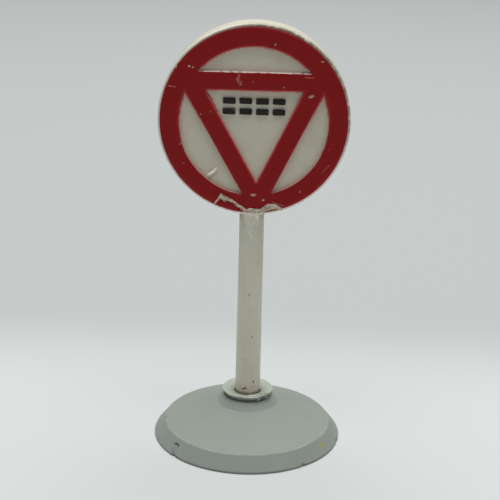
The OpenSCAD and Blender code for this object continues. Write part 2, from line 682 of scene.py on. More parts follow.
class Tint(Enum):
    """What a small mark is."""

    DIRT = "dirt"
    YELLOW = "yellow"
    PALE = "pale"
    INK = "ink"
    RED = "red"
    WHITE = "white"


@dataclass(frozen=True)
class Mark:
    """A small coloured mark on the foot or the post.

    Attributes:
        place: Its X, Y and Z in millimetres.
        radius: Its radius.
        tint: Its kind.
        strength: How strongly it colours the plastic.
        ragged: How uneven its outline is.
    """

    place: tuple[float, float, float]
    radius: float
    tint: Tint
    strength: float = 0.8
    ragged: float = 0.2


@dataclass(frozen=True)
class Chip:
    """A place on the sign's face where the paint is gone.

    Attributes:
        place: Its X, and its height above the line that marks are counted from.
        half: Its half width and half height.
        turn: Its turn in degrees.
        ragged: How uneven its outline is.
    """

    place: Point2
    half: Point2
    turn: float = 0.0
    ragged: float = 0.3


@dataclass(frozen=True)
class Scratch:
    """A scratch in the paint of the sign's face.

    Attributes:
        start: X of one end, and its height above the line that marks are counted from.
        end: The other end, in the same way.
        width: Its full width.
        seed: Shift of the noise that breaks it up.
    """

    start: Point2
    end: Point2
    width: float
    seed: float


@dataclass(frozen=True)
class GreyPlastic:
    """Satin grey moulded plastic with scuffs, a few specks, a yellow stain, and painted shade and highlights.

    Attributes:
        base: Its plain colour.
        cloudy: Its colour where the moulding flowed unevenly.
        scuffed: Colour of the rubbed edges.
        dirt_and_shade: Colour of its dirt and specks, and of the painted shade at the table, under the lip and
            in the socket's mouth.
        ink: Colour of the painted shade over the upper half of the gate's mark.
        crest: Colour of the lip's rubbed crest.
        flank: Colour of the boss's side.
        torn: Colour of the torn strands.
        yellow: Colour of the stain.
        pale: Colour of the pale flake in the dish and the painted highlight on it.
    """

    base: Colour = (0.268, 0.305, 0.273)
    cloudy: Colour = (0.31, 0.335, 0.29)
    scuffed: Colour = (0.46, 0.50, 0.45)
    dirt_and_shade: Colour = (0.075, 0.075, 0.062)
    ink: Colour = (0.02, 0.02, 0.017)
    crest: Colour = (0.50, 0.535, 0.465)
    flank: Colour = (0.345, 0.385, 0.35)
    torn: Colour = (0.54, 0.575, 0.50)
    yellow: Colour = (0.36, 0.34, 0.09)
    pale: Colour = (0.8, 0.82, 0.78)

    def make(self, foot: "Foot") -> bpy.types.Material:
        """Builds the material.

        Args:
            foot: The piece that it dresses, for the places of its marks.

        Returns:
            The material.
        """
        graph = Graph("grey_plastic")
        reach = (graph.x * graph.x + graph.y * graph.y).root()
        cloud = graph.noise(0.22, 4.0, 0.6)
        grain = graph.noise(7.0, 3.0, 0.6, seed=3.0)
        pits = graph.cells(2.3).ramp(0.13, 0.05) * graph.noise(0.9, 2.0, seed=9.0).ramp(0.52, 0.62)
        coats: list[Coat] = [
            (cloud.ramp(0.3, 0.7) * 0.35, self.cloudy),
            (grain.ramp(0.55, 0.8) * 0.12, self.scuffed),
            (pits * 0.3, self.dirt_and_shade),
        ]
        for radius, height, width in foot.edges():
            away = ((reach - radius) * (reach - radius) + (graph.z - height) * (graph.z - height)).root()
            worn = away.ramp(width, width * 0.15) * graph.noise(0.6, 3.0, seed=radius).ramp(0.3, 0.7)
            coats.append((worn * 0.4, self.scuffed))

        # Painted shade at the table, round the lip's neck and in the socket's mouth; rubbed crest and boss
        seam = graph.z.ramp(0.22, 0.02) * reach.ramp(11.0, 12.0)
        neck = (graph.z - foot.neck_z - 0.2).size().ramp(0.5, 0.05)
        neck = neck * reach.ramp(3.7, 3.25) * reach.ramp(2.6, 2.9)
        crest = graph.z.ramp(foot.lip_z - 0.5, foot.lip_z - 0.1) * reach.ramp(3.7, 3.5)
        flank = graph.z.ramp(foot.boss_h - 0.05, foot.boss_h + 0.1)
        flank = flank * graph.z.ramp(foot.neck_z + 0.05, foot.neck_z - 0.1)
        mouth = reach.ramp(2.0, 1.75) * graph.z.ramp(foot.lip_z - 0.9, foot.lip_z - 0.5)

        # The gate's mark: painted shade over its upper half and dirt in its lower
        ring = (graph.away(foot.gate) - foot.gate_r).size()
        gate_shade = ring.ramp(0.16, 0.06) * (graph.z - foot.gate[2]).ramp(0.08, 0.24)
        lower_arc = ring.ramp(0.12, 0.03) * (foot.gate[2] - graph.z).ramp(0.0, 0.2)

        torn = foot.torn(graph)
        strands = graph.noise(2.4, 4.0, 0.7, warp=0.4, stretch=(1.0, 1.0, 2.4), seed=17.0)
        coats += [
            (seam * 0.75, self.dirt_and_shade),
            (neck * 0.7, self.dirt_and_shade),
            (crest * 0.7, self.crest),
            (flank * 0.5, self.flank),
            (mouth * 0.5 * graph.noise(1.1, 3.0, seed=5.0).ramp(0.4, 0.65), self.dirt_and_shade),
            (gate_shade * 0.95, self.ink),
            (lower_arc * 0.4, self.dirt_and_shade),
            (torn * strands.ramp(0.5, 0.36) * 0.85, self.dirt_and_shade),
            (torn * strands.ramp(0.56, 0.68) * 0.5, self.torn),
        ]
        tints = {Tint.DIRT: self.dirt_and_shade, Tint.YELLOW: self.yellow, Tint.PALE: self.pale}
        coats += [(graph.bead(mark.place, mark.radius, ragged=mark.ragged) * mark.strength, tints[mark.tint])
                  for mark in foot.marks]

        lines = graph.noise(1.1, 3.0, 0.55, seed=11.0, stretch=(0.4, 0.4, 14.0)).ramp(0.5, 0.72)
        normal = graph.bump(grain, 0.012, 0.7)
        normal = graph.bump(1 - pits, 0.03, 0.8, normal)
        normal = graph.bump(cloud, 0.12, 0.5, normal)
        normal = graph.bump(lines, 0.006, 0.5, normal)
        normal = graph.bump(strands * torn, 0.12, 0.9, normal)
        rough = 0.5 + grain * 0.12 - lines * 0.05
        return graph.close(graph.coated(self.base, coats), rough, normal, soft=0.06)


@dataclass(frozen=True)
class PalePlastic:
    """Warm white moulded plastic: the ground of the plate, the post and the torn neck.

    Attributes:
        name: Name of the material.
        base: Its plain colour.
        aged: Its yellowed colour.
        dirt_and_shade: Colour of the dirt on it, and of the painted shade where the post enters the socket.
    """

    name: str
    base: Colour
    aged: Colour
    dirt_and_shade: Colour = (0.16, 0.12, 0.065)

    def ground(self, graph: Graph) -> tuple[Signal, Signal, Signal]:
        """The bare plastic: its colour, roughness and normal."""
        cloud = graph.noise(0.35, 4.0, 0.6)
        grain = graph.noise(6.0, 4.0, 0.6, seed=2.0)
        specks = graph.cells(1.5).ramp(0.075, 0.03) * graph.noise(0.7, 2.0, seed=6.0).ramp(0.5, 0.6)
        coats: list[Coat] = [(cloud.ramp(0.3, 0.75) * 0.6, self.aged), (specks * 0.6, self.dirt_and_shade)]
        colour = graph.coated(self.base, coats)
        normal = graph.bump(grain, 0.014, 0.8)
        normal = graph.bump(cloud, 0.14, 0.6, normal)
        return colour, 0.42 + grain * 0.14, normal


@dataclass(frozen=True)
class PlatePlastic(PalePlastic):
    """The plate's plastic, with the red that ran over the foot of the raised border.

    Attributes:
        run: Colour of the red that ran.
        blush: Colour of the faint red beside the border.
        margin_highlight: Colour of the painted highlight on the margin outside the ring.
        soil: Colour of the dirt on the upper right edge.
        curl: Colour of the sliver that stands up from the face, lighter as a painted highlight.
        shade: Colour of the painted shadow under it.
        film: Colour of the dull film.
    """

    name: str = "white_plastic"
    base: Colour = (0.66, 0.635, 0.52)
    aged: Colour = (0.62, 0.585, 0.455)
    run: Colour = (0.52, 0.05, 0.038)
    blush: Colour = (0.55, 0.16, 0.12)
    margin_highlight: Colour = (0.96, 0.93, 0.84)
    soil: Colour = (0.20, 0.165, 0.09)
    curl: Colour = (0.95, 0.93, 0.78)
    shade: Colour = (0.30, 0.28, 0.21)
    film: Colour = (0.36, 0.32, 0.23)

    def make(self, layout: FaceLayout) -> bpy.types.Material:
        """Builds the material.

        Args:
            layout: The lines on the sign's face.

        Returns:
            The material.
        """
        graph = Graph(self.name)
        colour, rough, normal = self.ground(graph)
        up = graph.z - layout.centre_z
        reach = (graph.x * graph.x + up * up).root()
        face = graph.y.ramp(layout.front_y + 0.12, layout.front_y + 0.02)

        # Red along the border's foot, strongest in the upper half and absent over the level side
        gap = layout.gap(graph)
        within = reach.ramp(layout.ring_r - 0.1, layout.ring_r - 0.3)
        over_bar = (up - layout.bar_top).ramp(-0.1, 0.02) * (up - layout.bar_top).ramp(0.5, 0.3)
        high = up.ramp(-1.5, 2.5)
        ragged = graph.noise(2.6, 4.0, 0.65, seed=1.0)
        run = gap.ramp(0.34, 0.05) * ragged.ramp(0.42, 0.58) + gap.ramp(0.2, 0.04) * high
        run = run * within * (0.12 + high * 0.88)

        # The margin outside the ring, lightened as a painted highlight along the plate's edge, and the dirt on
        # its upper right
        margin = reach.ramp(layout.ring_r - 0.02, layout.ring_r + 0.06)
        margin = margin * graph.y.ramp(layout.front_y + 0.6, layout.front_y + 0.1)
        corner = (graph.x * 0.75 + up * 0.66).ramp(4.2, 10.0)
        edge = reach.ramp(layout.ring_r - 0.3, layout.ring_r)
        rim = graph.y.ramp(layout.front_y + 1.5, layout.front_y + 0.2)
        soil = graph.noise(0.8, 4.0, 0.7, seed=8.0).ramp(0.28, 0.58)

        # The sliver that stands up from the face, lightened as a painted highlight, and the painted shadow
        # under it
        lifted = graph.y.ramp(layout.front_y - 0.02, layout.front_y - 0.1)
        under = graph.spot((-5.0, layout.marks_z - 7.3), (0.62, 0.2), 36.0, 0.1, 0.5) * face
        film = graph.noise(0.5, 4.0, 0.65, seed=12.0).ramp(0.48, 0.75)
        colour = graph.coated(colour, [
            (run.clamped() * face * (1 - over_bar) * 0.85, self.run),
            (gap.ramp(0.9, 0.1) * face * within * 0.1, self.blush),
            (margin * 0.85, self.margin_highlight),
            (corner * edge * rim * soil * 0.8, self.soil),
            (lifted, self.curl),
            (under * 0.4, self.shade),
            (film * 0.14, self.film),
        ])
        return graph.close(colour, rough, normal, soft=0.12)


@dataclass(frozen=True)
class PostPlastic(PalePlastic):
    """The post's plastic, with dirt at both ends, painted shade at its foot and down its sides under the plate,
    the smeared neck and the few marks along it.

    Attributes:
        handled: Colour of the brown film above the foot.
        dusty: Colour of the film under the plate.
        smeared: Colour of the smear at the neck.
        hollow: Colour of the pits in it.
        shade: Colour of the painted shade down its two sides under the plate.
        streak: Colour of the long streaks.
        ink: Colour of the darkest marks.
        red: Colour of the paint splashed on it.
        white: Colour of the bright fleck.
    """

    name: str = "cream_plastic"
    base: Colour = (0.69, 0.675, 0.56)
    aged: Colour = (0.65, 0.62, 0.49)
    handled: Colour = (0.42, 0.32, 0.19)
    dusty: Colour = (0.36, 0.34, 0.25)
    smeared: Colour = (0.86, 0.845, 0.71)
    hollow: Colour = (0.42, 0.39, 0.29)
    shade: Colour = (0.30, 0.29, 0.23)
    streak: Colour = (0.40, 0.36, 0.25)
    ink: Colour = (0.03, 0.025, 0.02)
    red: Colour = (0.36, 0.01, 0.012)
    white: Colour = (1.0, 0.99, 0.93)

    def make(self, post: "Post") -> bpy.types.Material:
        """Builds the material.

        Args:
            post: The piece that it dresses, for its ends and its marks.

        Returns:
            The material.
        """
        graph = Graph(self.name)
        colour, rough, normal = self.ground(graph)
        lip_z, top_z = post.lip_z, post.plate_foot_z
        low = graph.z.ramp(lip_z + 2.2, lip_z - 0.3) * graph.noise(1.4, 4.0, 0.7, seed=4.0).ramp(0.3, 0.7)
        # Painted shade round the post where it enters the socket
        foot_line = graph.z.ramp(lip_z + 0.12, lip_z - 0.25)
        high = graph.z.ramp(top_z - 3.4, top_z) * graph.noise(0.9, 3.0, 0.6, seed=7.0).ramp(0.35, 0.65)

        # The smear narrows downward from the plate, on the front of the post only
        share = (graph.z - (top_z - post.web_l)) / post.web_l
        wander = (graph.noise(1.6, 3.0, 0.6, seed=23.0) - 0.5) * 0.9
        smear = (share * 1.5 - graph.x.size() + wander).ramp(0.0, 0.3)
        smear = smear * share.ramp(0.0, 0.1) * graph.y.ramp(0.0, -0.3)
        torn = graph.noise(2.2, 5.0, 0.7, warp=0.6, seed=30.0)
        # Painted shade down the post's two sides just under the plate
        sides = graph.z.ramp(top_z - 1.5, top_z - 0.3) * graph.x.size().ramp(0.75, 1.05)

        streak = graph.noise(0.9, 3.0, 0.6, seed=15.0, stretch=(2.5, 2.5, 0.12)).ramp(0.5, 0.8)
        flank = graph.x.ramp(1.35, 1.62) * graph.z.ramp(11.5, 12.5) * graph.z.ramp(16.6, 15.2)
        spots = flank * graph.noise(3.0, 3.0, 0.7, seed=18.0).ramp(0.5, 0.6)
        coats: list[Coat] = [
            (low * 0.5, self.handled),
            (foot_line * 0.7, self.dirt_and_shade),
            (high * 0.3, self.dusty),
            (smear * 0.8, self.smeared),
            (sides * 0.5, self.shade),
            (smear * torn.ramp(0.5, 0.34) * 0.4, self.hollow),
            (streak * 0.16, self.streak),
            (spots * 0.8, self.dirt_and_shade),
        ]
        tints = {Tint.DIRT: self.dirt_and_shade, Tint.INK: self.ink, Tint.RED: self.red, Tint.WHITE: self.white}
        coats += [(graph.bead(mark.place, mark.radius, ragged=mark.ragged) * mark.strength, tints[mark.tint])
                  for mark in post.marks]

        drawn = graph.noise(1.0, 3.0, 0.6, seed=21.0, stretch=(6.0, 6.0, 0.15))
        normal = graph.bump(drawn, 0.02, 0.6, normal)
        normal = graph.bump(torn * smear, 0.16, 0.9, normal)
        return graph.close(graph.coated(colour, coats), rough, normal, soft=0.12)


@dataclass(frozen=True)
class BarePlastic(PalePlastic):
    """The torn, dusty plastic of the broken neck.

    Attributes:
        hollow: Colour of its pits.
        crest: Colour of its bright crests.
        stained: Colour of the paint left on it.
    """

    name: str = "bare_plastic"
    base: Colour = (0.68, 0.57, 0.46)
    aged: Colour = (0.60, 0.47, 0.37)
    hollow: Colour = (0.27, 0.20, 0.14)
    crest: Colour = (0.78, 0.72, 0.61)
    stained: Colour = (0.36, 0.07, 0.055)

    def make(self) -> bpy.types.Material:
        """Builds the material."""
        graph = Graph(self.name)
        colour, rough, normal = self.ground(graph)
        torn = graph.noise(2.2, 5.0, 0.7, warp=0.6, seed=30.0)
        colour = graph.coated(colour, [
            (torn.ramp(0.54, 0.36) * 0.6, self.hollow),
            (torn.ramp(0.58, 0.7) * 0.5, self.crest),
            (graph.noise(1.4, 4.0, 0.7, seed=33.0).ramp(0.5, 0.64) * 0.5, self.stained),
        ])
        normal = graph.bump(torn, 0.12, 0.9, normal)
        return graph.close(colour, rough + 0.12, normal, soft=0.1)


@dataclass(frozen=True)
class RedPaint:
    """Thick brushed red paint over the raised border, bright on its walls and chipped to the plastic, with
    painted highlights and painted shade on its edges.

    Attributes:
        base: Colour of the full coat.
        brushed: Colour between the brush strokes.
        thin: Colour where it is thin, also used for the painted highlight round the ring's lower edge.
        shaded: Colour of the painted shade on the ring's upper outer edge.
        ledge: Colour of the ledge over the level side: bare plastic with a painted highlight.
        rubbed: Colour of the rubbed outer edge.
        wall: Colour of the walls that face up: bare where the paint missed them, and a painted highlight.
        glow: Colour of the painted highlight along the edges of the white fields.
        scratched: Colour of the scratches.
        bare: Colour of the plastic under it.
        dust: Colour of the dirt on that.
        chips: The places where the paint is gone.
        scratches: The scratches.
        torn: The torn places round the neck.
        left_over: The paint that stayed among them.
    """

    base: Colour = (0.262, 0.0085, 0.0098)
    brushed: Colour = (0.30, 0.0125, 0.0135)
    thin: Colour = (0.44, 0.020, 0.030)
    shaded: Colour = (0.10, 0.004, 0.005)
    ledge: Colour = (0.92, 0.78, 0.72)
    rubbed: Colour = (0.36, 0.12, 0.09)
    wall: Colour = (0.62, 0.44, 0.37)
    glow: Colour = (0.52, 0.032, 0.036)
    scratched: Colour = (0.62, 0.30, 0.25)
    bare: Colour = (0.52, 0.38, 0.30)
    dust: Colour = (0.33, 0.29, 0.20)
    chips: tuple[Chip, ...] = (
        Chip((0.17, -9.56), (0.36, 0.16), 4.0, 0.2), Chip((1.44, -10.19), (0.17, 0.14), 30.0),
        Chip((-8.0, 6.45), (0.16, 0.13)), Chip((-7.55, 6.32), (0.14, 0.12), 20.0),
        Chip((-9.62, 6.28), (0.1, 0.12)), Chip((6.95, 3.12), (0.34, 0.17), 18.0, 0.25),
        Chip((2.4, 9.33), (0.12, 0.12)), Chip((-9.1, -3.25), (0.15, 0.05), 38.0, 0.4),
        Chip((-8.6, -5.7), (0.14, 0.045), -42.0, 0.4), Chip((6.03, -8.94), (0.06, 0.18), 10.0, 0.4),
        Chip((-3.63, -8.85), (0.13, 0.06), -30.0, 0.4), Chip((8.2, 7.4), (0.2, 0.07)),
        Chip((5.9, -10.4), (0.12, 0.1), 0.0, 0.4), Chip((-0.15, 4.75), (0.07, 0.07)),
    )
    scratches: tuple[Scratch, ...] = (
        Scratch((-2.25, 5.5), (-1.6, 4.3), 0.42, 1.0), Scratch((-10.6, 3.95), (-9.6, 3.9), 0.14, 2.0),
        Scratch((6.1, 5.45), (7.25, 5.42), 0.1, 3.0), Scratch((-6.6, -2.2), (-5.4, -4.9), 0.07, 4.0),
        Scratch((2.6, -10.4), (4.0, -10.9), 0.08, 5.0), Scratch((8.6, -6.6), (9.6, -5.4), 0.06, 6.0),
    )
    torn: tuple[Chip, ...] = (
        Chip((-3.55, -9.98), (0.55, 0.26), -12.0, 0.14), Chip((-2.75, -10.32), (0.62, 0.22), -26.0, 0.14),
        Chip((-1.9, -10.85), (0.62, 0.2), -37.0, 0.14), Chip((-1.1, -11.42), (0.6, 0.24), -42.0, 0.14),
        Chip((-4.35, -10.4), (0.62, 0.1), 48.0, 0.14), Chip((-3.4, -10.38), (0.22, 0.2), 0.0, 0.14),
        Chip((2.15, -11.2), (1.0, 0.36), 26.0, 0.14), Chip((3.0, -11.25), (0.95, 0.36), -22.0, 0.14),
        Chip((2.55, -10.95), (0.9, 0.24), 0.0, 0.14),
    )
    left_over: Chip = Chip((2.7, -11.52), (0.75, 0.13), 14.0, 0.2)

    def make(self, layout: FaceLayout, rise: float) -> bpy.types.Material:
        """Builds the material.

        Args:
            layout: The lines on the sign's face.
            rise: Height of the border above the plate.

        Returns:
            The material.
        """
        graph = Graph("red_paint")
        up, centre = graph.z - layout.centre_z, layout.marks_z
        top_y = layout.front_y - rise
        brushed = graph.noise(0.9, 4.0, 0.6, warp=0.8)
        fine = graph.noise(6.5, 4.0, 0.65, seed=2.0)
        reach = (graph.x * graph.x + up * up).root()
        facing = graph.add("ShaderNodeNewGeometry", {}, {})
        tilt = graph.add("ShaderNodeSeparateXYZ", {}, {"Vector": facing.out("Normal")}).out("Z")

        # The walls of the white fields, and those that face up, where the paint missed them and a painted
        # highlight is laid
        inside = reach.ramp(layout.ring_r - 0.3, layout.ring_r - 0.6)
        wall = graph.y.ramp(top_y + 0.1, top_y + 0.28) * inside
        lit = graph.y.ramp(top_y + 0.05, top_y + 0.2) * tilt.ramp(0.12, 0.4) * inside
        missed = graph.noise(0.9, 4.0, 0.7, seed=44.0).ramp(0.28, 0.46)

        # Painted highlight: brighter red round the ring's lower edge and along the white fields
        low_edge = reach.ramp(layout.ring_r - 0.7, layout.ring_r - 0.1) * (0 - up).ramp(2.0, 7.0)
        # Painted highlight along the edges of the white fields
        glow = layout.gap(graph).ramp(-0.34, -0.02) * graph.noise(1.1, 3.0, 0.6, seed=46.0).ramp(0.28, 0.5)
        low_ring = reach.ramp(layout.ring_inner_r - 0.4, layout.ring_inner_r - 0.1)
        low_ring = low_ring * (0 - up).ramp(0.0, 3.0)
        on_bar = (up - layout.bar_top).size().ramp(0.6, 0.4)

        # Painted shade on the ring's upper outer edge, the bare ledge over the level side with its painted
        # highlight, and the rubbed rim
        upper = tilt.ramp(0.15, 0.7) * reach.ramp(layout.ring_r - 0.4, layout.ring_r - 0.25)
        # The ledge's up-facing top: bare plastic and a painted highlight
        ledge = tilt.ramp(0.55, 0.8) * (up - layout.bar_top).size().ramp(0.3, 0.12)
        patchy = graph.noise(1.7, 3.0, 0.6, seed=5.0).ramp(0.38, 0.5)
        rim = reach.ramp(layout.ring_r - 0.3, layout.ring_r - 0.02)
        rim = rim * graph.noise(1.9, 4.0, 0.7, seed=9.0).ramp(0.58, 0.68)

        crumbs = graph.cells(0.62).ramp(0.075, 0.04) * graph.noise(0.6, 2.0, seed=14.0).ramp(0.47, 0.55)
        spots = (graph.spot((chip.place[0], centre + chip.place[1]), chip.half, chip.turn, chip.ragged) * 0.85
                 for chip in self.chips)
        chips = reduce(Signal.most, spots, crumbs * 0.75).most(self.tear(graph, centre))
        faint = reduce(Signal.most, (
            graph.scratch((line.start[0], centre + line.start[1]), (line.end[0], centre + line.end[1]),
                          line.width, line.seed)
            for line in self.scratches
        ))
        dusty = graph.blend(graph.noise(1.6, 4.0, 0.7, seed=40.0).ramp(0.4, 0.7) * 0.6, self.bare, self.dust)
        colour = graph.coated(self.base, [
            (brushed.ramp(0.3, 0.75) * 0.4, self.brushed),
            (fine.ramp(0.62, 0.8) * 0.1, self.thin),
            (wall * 0.9, self.thin),
            (lit * missed * 0.8, self.wall),
            (low_edge * 0.4, self.thin),
            (glow * (1 - low_ring) * (1 - on_bar) * 0.65, self.glow),
            (upper * 0.75, self.shaded),
            (ledge * patchy, self.ledge),
            (rim * 0.6, self.rubbed),
            (faint * 0.55, self.scratched),
            (chips, dusty),
        ])
        normal = graph.bump(brushed, 0.10, 0.8)
        normal = graph.bump(fine, 0.014, 0.8, normal)
        normal = graph.bump(1 - chips, 0.05, 0.9, normal)
        normal = graph.bump(1 - faint, 0.02, 0.7, normal)
        rough = 0.42 + fine * 0.12 + chips * 0.25
        return graph.close(colour, rough, normal, ior=1.22)

    def tear(self, graph: Graph, centre: float) -> Signal:
        """Where the paint is gone round the broken neck: over the post, a torn line and a patch.

        Args:
            graph: The material's graph.
            centre: Height that marks on the face are counted from.

        Returns:
            1 where the plastic is bare.
        """
        over_post = graph.spot((0.5, centre - 12.15), (1.5, 0.8), 0.0, 0.1, 0.12)
        spots = (graph.spot((chip.place[0], centre + chip.place[1]), chip.half, chip.turn, chip.ragged,
                            0.12, 2.2)
                 for chip in self.torn)
        left = self.left_over
        kept = graph.spot((left.place[0], centre + left.place[1]), left.half, left.turn, left.ragged, 0.2)
        return (reduce(Signal.most, spots, over_post) - kept).clamped()


@dataclass(frozen=True)
class BlackPaint:
    """Black paint dabbed on the raised bars, rubbed through in blotches.

    Attributes:
        base: Colour of the coat.
        dry: Colour where it dried thin.
        bare: Colour of the plastic under it.
    """

    base: Colour = (0.014, 0.013, 0.013)
    dry: Colour = (0.045, 0.043, 0.04)
    bare: Colour = (0.34, 0.33, 0.29)

    def make(self) -> bpy.types.Material:
        """Builds the material."""
        graph = Graph("black_paint")
        blotch = graph.noise(1.7, 4.0, 0.65, warp=0.5)
        fine = graph.noise(8.0, 3.0, 0.6, seed=2.0)
        colour = graph.coated(self.base, [
            (fine.ramp(0.4, 0.8) * 0.4, self.dry),
            (blotch.ramp(0.6, 0.74) * 0.5, self.bare),
        ])
        normal = graph.bump(blotch, 0.06, 0.8)
        normal = graph.bump(fine, 0.012, 0.8, normal)
        return graph.close(colour, 0.5 + fine * 0.15, normal, ior=1.3)


# --------------------------------------------------------------------------------------------------------------
# Pieces
# --------------------------------------------------------------------------------------------------------------


@dataclass(frozen=True)
class Dent:
    """A place where the foot's surface is pushed in or stands proud.

    Attributes:
        angle: Its direction round the foot, in degrees from +X.
        reach: Its distance from the axis.
        height: Its height.
        radius: How far it spreads.
        depth: How far it goes in; a negative depth stands proud.
        rough: Share of the depth that noise takes.
    """

    angle: float
    reach: float
    height: float
    radius: float
    depth: float
    rough: float = 0.5

    def centre(self) -> Vector:
        """Its place."""
        turn = math.radians(self.angle)
        return Vector((self.reach * math.cos(turn), self.reach * math.sin(turn), self.height))


@dataclass
class Foot:
    """The grey moulded foot: bevelled edge, shallow cone, flared boss, undercut dished lip and blind socket.

    Attributes:
        foot_r: Radius on the table, from the frame.
        lip_z: Height of the lip's crest, from the frame.
    """

    foot_r: float
    lip_z: float
    rim_h: float = 0.3
    shoulder_r: float = 11.1
    shoulder_h: float = 2.05
    boss_r: float = 4.15
    boss_h: float = 4.7
    boss_top_r: float = 3.2
    neck_r: float = 3.05
    neck_z: float = 5.75
    lip_r: float = 3.4
    band_h: float = 0.1
    crest_w: float = 0.14
    dish_depth: float = 0.4
    socket_r: float = 1.73
    socket_z: float = 1.2
    floor_z: float = 0.3
    tube_r: float = 2.78
    wall: float = 1.1
    turn_steps: int = 480
    fine: float = 0.11
    coarse: float = 0.7
    tear_angle: float = -44.0
    tear_spread: float = 15.0
    strands: int = 14
    gate: tuple[float, float, float] = (-9.18, -7.62, 1.02)
    gate_r: float = 0.5
    marks: tuple[Mark, ...] = field(default=(
        Mark((-9.3, -7.7, 0.85), 0.12, Tint.DIRT, 0.6, 0.5),
        Mark((-9.08, -7.75, 1.05), 0.08, Tint.DIRT, 0.5, 0.5),
        Mark((-9.45, -7.9, 0.45), 0.12, Tint.DIRT, 0.6, 0.5),
        Mark((10.11, -5.99, 1.24), 0.36, Tint.YELLOW, 0.85, 0.2),
        Mark((10.2, -6.05, 1.0), 0.2, Tint.YELLOW, 0.6, 0.4),
        Mark((-11.06, -0.8, 2.05), 0.16, Tint.DIRT, 0.75, 0.5),
        Mark((-10.7, -2.85, 1.98), 0.1, Tint.DIRT, 0.7, 0.5),
        Mark((-10.95, -1.6, 1.95), 0.07, Tint.DIRT, 0.6, 0.5),
        # A pale flake in the dish by the post, painted bright as a painted highlight
        Mark((0.55, -1.98, 6.28), 0.42, Tint.PALE, 0.75, 0.35),
        Mark((1.2, -1.75, 6.3), 0.28, Tint.PALE, 0.6, 0.4),
        Mark((7.7, -9.85, 0.2), 0.3, Tint.DIRT, 0.35, 0.6),
        Mark((12.2, -2.6, 0.2), 0.3, Tint.DIRT, 0.5, 0.5),
        Mark((-4.6, -5.1, 4.0), 0.09, Tint.DIRT, 0.4, 0.5),
        Mark((6.9, -3.3, 3.2), 0.08, Tint.DIRT, 0.35, 0.5),
    ))
    dents: tuple[Dent, ...] = field(default=(
        Dent(-141.0, 12.15, 0.72, 0.26, 0.12, 0.6),
        Dent(-138.2, 12.5, 0.12, 0.42, 0.24, 0.7),
        Dent(-135.2, 12.5, 0.1, 0.3, 0.14, 0.7),
        Dent(-52.4, 12.5, 0.12, 0.4, 0.18, 0.7),
        Dent(-49.9, 12.5, 0.1, 0.25, 0.1, 0.7),
        Dent(-12.2, 12.5, 0.2, 0.3, 0.2, 0.5),
        Dent(-30.6, 11.75, 1.24, 0.36, -0.06, 0.4),
        Dent(-176.0, 11.1, 2.05, 0.22, 0.16, 0.6),
        Dent(-164.8, 11.05, 2.05, 0.18, 0.12, 0.6),
        Dent(151.0, 12.4, 0.25, 0.35, 0.14, 0.7),
        Dent(64.0, 11.1, 2.05, 0.2, 0.1, 0.6),
        Dent(-98.0, 7.2, 3.6, 0.5, 0.02, 0.5),
    ))

    def edges(self) -> tuple[tuple[float, float, float], ...]:
        """The rubbed edges: radius, height and width of the wear."""
        return ((self.shoulder_r, self.shoulder_h, 0.22), (self.boss_r, self.boss_h, 0.16),
                (self.lip_r - 0.1, self.lip_z, 0.2))

    def section(self) -> list[Corner]:
        """The wall's section, from the socket's floor over the lip and under the shell to the axis."""
        return [
            Corner(0.0, self.socket_z),
            Corner(self.socket_r, self.socket_z, 0.1),
            Corner(self.socket_r, self.lip_z - self.dish_depth, 0.12),
            Corner(self.lip_r - self.crest_w, self.lip_z, 0.16, self.fine),
            Corner(self.lip_r, self.lip_z, 0.06, self.fine),
            Corner(self.lip_r, self.lip_z - self.band_h, 0.05, self.fine),
            Corner(self.neck_r, self.neck_z, 0.05, self.fine),
            Corner(self.boss_top_r, self.neck_z, 0.06),
            Corner(self.boss_r, self.boss_h, 0.12, 0.25),
            Corner(self.shoulder_r, self.shoulder_h, 0.3, 0.35),
            Corner(self.foot_r, self.rim_h, 0.1, self.fine),
            Corner(self.foot_r, 0.0, 0.06, self.fine),
            Corner(self.foot_r - self.wall, 0.0, 0.1),
            Corner(self.shoulder_r - self.wall, self.shoulder_h - self.wall, 0.3),
            Corner(self.boss_r, self.boss_h - self.wall, 0.4),
            Corner(self.tube_r, self.boss_h - self.wall, 0.3),
            Corner(self.tube_r, self.floor_z, 0.15),
            Corner(0.0, self.floor_z),
        ]

    def worn(self, place: Vector) -> Vector:
        """How far a point of the new foot has moved on the old one."""
        shift = Vector((0, 0, 0))
        reach = math.hypot(place.x, place.y)
        inward = Vector((-place.x, -place.y, 0)).normalized() if reach > 1e-6 else Vector((0, 0, 0))
        for dent in self.dents:
            away = (place - dent.centre()).length / dent.radius
            if away < 1:
                share = (1 - away * away) ** 2
                uneven = 1 + dent.rough * noise.noise(place * 3.3)
                down = Vector((0, 0, -0.4 if dent.height > 1.5 else 0.25))
                shift += (inward + down) * (dent.depth * share * uneven)
        ring = (place - Vector(self.gate)).length
        if ring < 1.0:
            crest = math.exp(-(((ring - self.gate_r) / 0.11) ** 2))
            hollow = max(0.0, 1 - (ring / self.gate_r) ** 2) * (0.6 + noise.noise(place * 6.0))
            shadow = crest * max(0.0, (place.z - self.gate[2]) / self.gate_r)
            shift += inward * (0.09 * hollow + 0.2 * shadow - 0.07 * crest)
        turn = math.degrees(math.atan2(place.y, place.x))
        if place.z > self.neck_z + 0.25 and reach > 2.2:
            lift = min(1.0, (place.z - self.neck_z - 0.25) / 0.4) * min(1.0, (reach - 2.2) / 0.8)
            wave = noise.noise(Vector((math.cos(math.radians(turn)), math.sin(math.radians(turn)), 0)) * 2.2)
            fine = noise.noise(place * 2.4)
            shift += inward * (lift * (0.035 * wave + 0.03 * fine))
            shift += Vector((0, 0, lift * (0.05 * wave + 0.03 * fine - 0.03)))
            torn = math.exp(-(((turn - self.tear_angle) / self.tear_spread) ** 2))
            crag = noise.noise(Vector((place.x, place.y, place.z * 2.0)) * 3.6)
